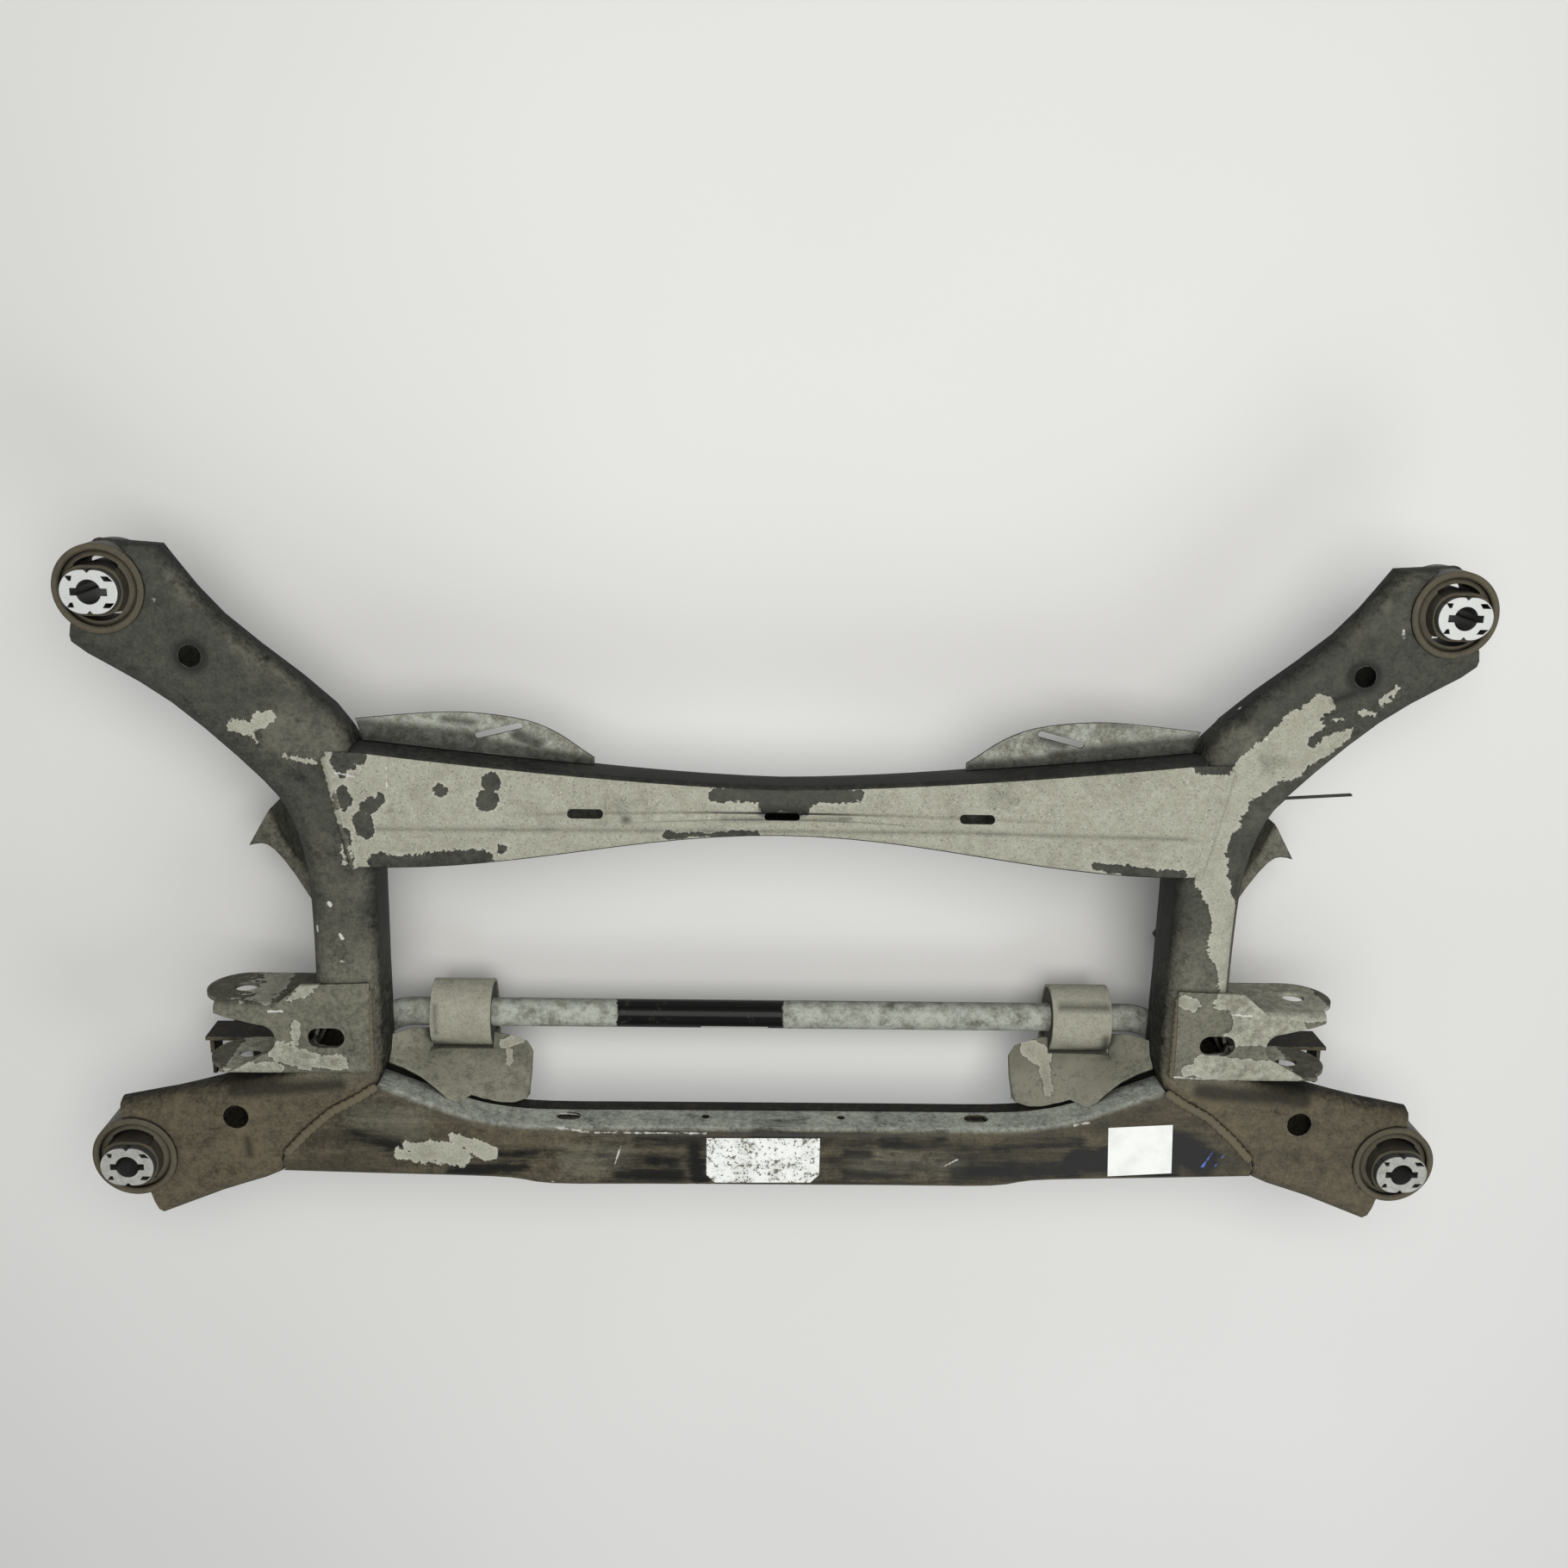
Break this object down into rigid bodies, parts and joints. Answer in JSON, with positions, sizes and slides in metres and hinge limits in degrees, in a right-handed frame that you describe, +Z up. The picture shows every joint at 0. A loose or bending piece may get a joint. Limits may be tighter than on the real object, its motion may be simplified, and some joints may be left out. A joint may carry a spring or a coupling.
{
  "type": "rear axle subframe",
  "caption": "Used pressed-steel rear axle subframe with body-mount bushes, arm brackets and a clamped stabiliser bar.",
  "frame": {"origin": "centre of the part's footprint, on the ground it lies on", "axes": "+X to the right across the car, +Y towards the narrower bush row, +Z up from the ground"},
  "size_m": [1.084, 0.5448, 0.17],
  "materials": {
    "side_paint": "worn black coating under dried mud",
    "front_beam_paint": "black coating under a coat of dried mud",
    "rear_beam_paint": "worn black coating with dust",
    "eye_paint": "dusty black coating",
    "sleeve_steel": "brown dust on a coated sleeve",
    "bush_rubber": "dusty rubber",
    "front_core_aluminium": "scuffed, extruded",
    "rear_core_aluminium": "scuffed, extruded, dusty",
    "bracket_paint": "worn black coating under dried mud",
    "gusset_paint": "worn black coating with dust",
    "strap_paint": "coating under dried mud",
    "clamp_rubber": "dusty rubber",
    "zinc_steel": "dull zinc plating",
    "bar_paint": "black coating with grey dust",
    "tie_plastic": "black nylon"
  },
  "bodies": {
    "frame": {"side_upper_left": "side_paint", "side_upper_right": "side_paint", "side_lower_left": "side_paint", "side_lower_right": "side_paint", "front_beam_upper": "front_beam_paint", "front_beam_lower": "front_beam_paint", "rear_beam_upper": "rear_beam_paint", "rear_beam_lower": "rear_beam_paint", "front_left_eye": "eye_paint", "front_right_eye": "eye_paint", "rear_left_eye": "eye_paint", "rear_right_eye": "eye_paint", "front_left_sleeve": "sleeve_steel", "front_right_sleeve": "sleeve_steel", "rear_left_sleeve": "sleeve_steel", "rear_right_sleeve": "sleeve_steel", "front_left_rubber": "bush_rubber", "front_right_rubber": "bush_rubber", "rear_left_rubber": "bush_rubber", "rear_right_rubber": "bush_rubber", "front_left_core": "front_core_aluminium", "front_right_core": "front_core_aluminium", "rear_left_core": "rear_core_aluminium", "rear_right_core": "rear_core_aluminium", "upper_arm_bracket_left": "bracket_paint", "upper_arm_bracket_right": "bracket_paint", "front_horn_left": "bracket_paint", "front_horn_right": "bracket_paint", "rear_arm_bracket_left": "bracket_paint", "rear_arm_bracket_right": "bracket_paint", "stabiliser_bracket_left": "gusset_paint", "stabiliser_bracket_right": "gusset_paint", "clamp_strap_left": "strap_paint", "clamp_strap_right": "strap_paint", "clamp_bush_left": "clamp_rubber", "clamp_bush_right": "clamp_rubber", "clamp_bolts": "zinc_steel", "clamp_nuts": "zinc_steel", "harness_tie": "tie_plastic"},
    "stabiliser": {"stabiliser_bar": "bar_paint"}
  },
  "joints": [
    {"name": "stabiliser_turn", "type": "hinge", "parent": "frame", "child": "stabiliser", "pos_m": [0, -0.13064, 0.053], "axis": [1, 0, 0], "range_deg": [-9, 7]}
  ]
}
